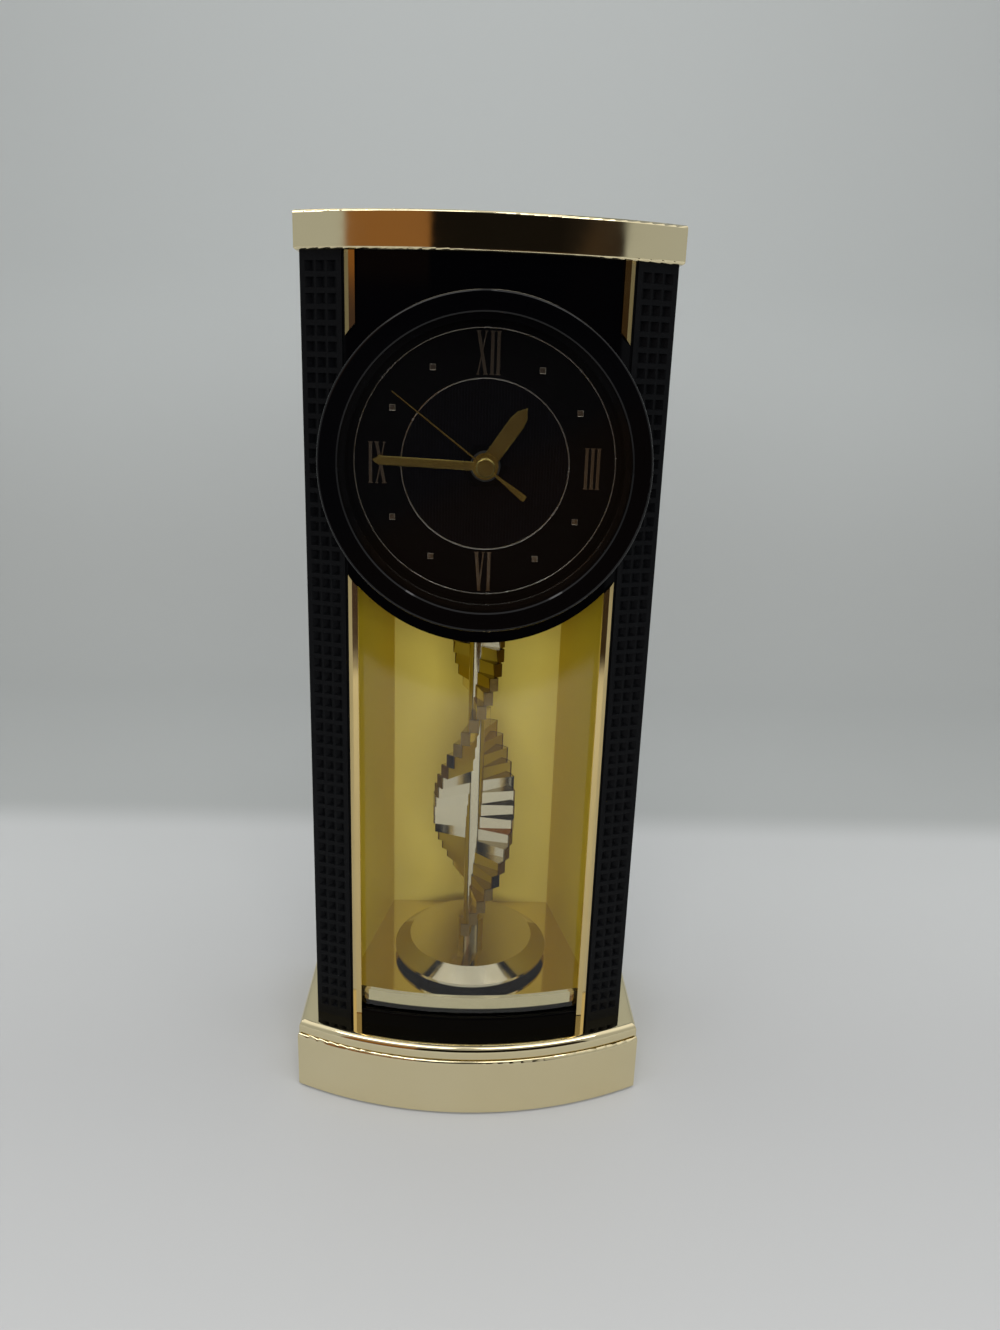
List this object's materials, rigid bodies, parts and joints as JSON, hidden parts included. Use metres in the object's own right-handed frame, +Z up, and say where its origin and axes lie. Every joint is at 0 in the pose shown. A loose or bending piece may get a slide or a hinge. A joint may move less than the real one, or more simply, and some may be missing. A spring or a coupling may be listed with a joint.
{
  "type": "desk clock",
  "caption": "Free-standing desk clock with a bowed plated base and cap, waffled columns, a round dial, and a twisted pendulum that turns in a gold alcove behind a bowed window.",
  "frame": {"origin": "on the resting plane under the feet, on the pendulum's upright axis, which is the middle of the overall box in plan", "axes": "+Z up, front and dial towards -Y, +X to the right as seen from the front"},
  "size_m": [0.1046, 0.077, 0.25],
  "materials": {
    "gold_plating": "bright pale-gold plating on ABS",
    "satin_gold": "satin gold metallised moulding",
    "vane_gold": "bright gold plating on a moulded vane",
    "black_grain": "matt black moulded ABS",
    "black_gloss": "gloss black ABS",
    "clear_acrylic": "clear polished acrylic",
    "dial_black": "black lacquered dial sheet",
    "hand_gold": "gold anodised stamped sheet",
    "movement_grey": "dark grey moulded ABS",
    "gear_resin": "natural acetal resin",
    "steel": "bright zinc-plated steel",
    "nickel": "nickel-plated spring steel",
    "brass": "turned brass",
    "copper_wire": "enamelled copper winding",
    "board_green": "green circuit laminate",
    "cell_sleeve": "plain dark cell sleeve",
    "rubber": "black rubber pad",
    "magnet": "dark ferrite magnet"
  },
  "bodies": {
    "case": {"base_plinth": "gold_plating", "top_cap": "gold_plating", "left_trim_strip": "gold_plating", "right_trim_strip": "gold_plating", "base_plate": "black_grain", "rubber_feet": "rubber", "base_screws": "steel", "cap_screws": "steel", "cover_screws": "steel", "left_column": "black_grain", "right_column": "black_grain", "rear_cover": "black_grain", "upper_panel": "black_gloss", "lower_rail": "black_gloss", "bezel": "black_gloss", "window_pane": "clear_acrylic", "dial_lens": "clear_acrylic", "alcove_liner": "satin_gold", "alcove_floor": "gold_plating", "pendulum_bridge": "black_grain", "upper_bush": "brass", "pivot_cup": "brass", "drive_board": "board_green", "drive_coil": "copper_wire", "drive_core": "steel", "dial_plate": "dial_black", "movement_nut": "black_gloss", "movement_front_case": "movement_grey", "movement_rear_case": "movement_grey", "stator": "steel", "motor_coil": "copper_wire", "circuit_board": "board_green", "battery": "cell_sleeve", "battery_contacts": "nickel"},
    "second_train": {"second_hand": "hand_gold", "second_wheel": "gear_resin"},
    "third_train": {"third_wheel": "gear_resin"},
    "minute_train": {"minute_hand": "hand_gold", "minute_wheel": "gear_resin"},
    "motion_train": {"motion_wheel": "gear_resin"},
    "hour_train": {"hour_hand": "hand_gold", "hour_wheel": "gear_resin"},
    "setting_train": {"setting_knob": "gear_resin"},
    "idler_train": {"idler_wheel": "gear_resin"},
    "rotor_train": {"rotor": "magnet"},
    "pendulum": {"pendulum_rod": "steel", "pendulum_vane": "vane_gold", "pendulum_disc": "vane_gold", "pendulum_magnets": "magnet"},
    "door": {"rear_door": "black_grain"}
  },
  "joints": [
    {"name": "second_hand_turn", "type": "hinge", "parent": "case", "child": "second_train", "pos_m": [0, 0, 0.1916], "axis": [0, 1, 0], "continuous": true},
    {"name": "third_wheel_turn", "type": "hinge", "parent": "case", "child": "third_train", "pos_m": [-0.00865, 0, 0.20025], "axis": [0, 1, 0], "continuous": true},
    {"name": "minute_hand_turn", "type": "hinge", "parent": "case", "child": "minute_train", "pos_m": [0, 0, 0.1916], "axis": [0, 1, 0], "continuous": true},
    {"name": "motion_wheel_turn", "type": "hinge", "parent": "case", "child": "motion_train", "pos_m": [0.00789, 0, 0.18873], "axis": [0, 1, 0], "continuous": true},
    {"name": "hour_hand_turn", "type": "hinge", "parent": "case", "child": "hour_train", "pos_m": [0, 0, 0.1916], "axis": [0, 1, 0], "continuous": true},
    {"name": "setting_knob_turn", "type": "hinge", "parent": "case", "child": "setting_train", "pos_m": [0.01579, 0, 0.1916], "axis": [0, 1, 0], "continuous": true},
    {"name": "idler_wheel_turn", "type": "hinge", "parent": "case", "child": "idler_train", "pos_m": [0.0063, 0, 0.20251], "axis": [0, 1, 0], "continuous": true},
    {"name": "rotor_turn", "type": "hinge", "parent": "case", "child": "rotor_train", "pos_m": [0.01266, 0, 0.20888], "axis": [0, 1, 0], "continuous": true},
    {"name": "pendulum_turn", "type": "hinge", "parent": "case", "child": "pendulum", "pos_m": [0, 0, 0.09], "axis": [0, 0, 1], "continuous": true},
    {"name": "rear_door_swing", "type": "hinge", "parent": "case", "child": "door", "pos_m": [-0.03, 0.03175, 0.195], "axis": [0, 0, 1], "range_deg": [0, 110]}
  ],
  "couplings": [
    {"joint": "third_wheel_turn", "follows": "minute_hand_turn", "ratio": -7.5},
    {"joint": "second_hand_turn", "follows": "minute_hand_turn", "ratio": 60},
    {"joint": "motion_wheel_turn", "follows": "minute_hand_turn", "ratio": -0.33333},
    {"joint": "hour_hand_turn", "follows": "minute_hand_turn", "ratio": 0.083333},
    {"joint": "setting_knob_turn", "follows": "minute_hand_turn", "ratio": 1},
    {"joint": "idler_wheel_turn", "follows": "minute_hand_turn", "ratio": -360},
    {"joint": "rotor_turn", "follows": "minute_hand_turn", "ratio": 1800}
  ]
}
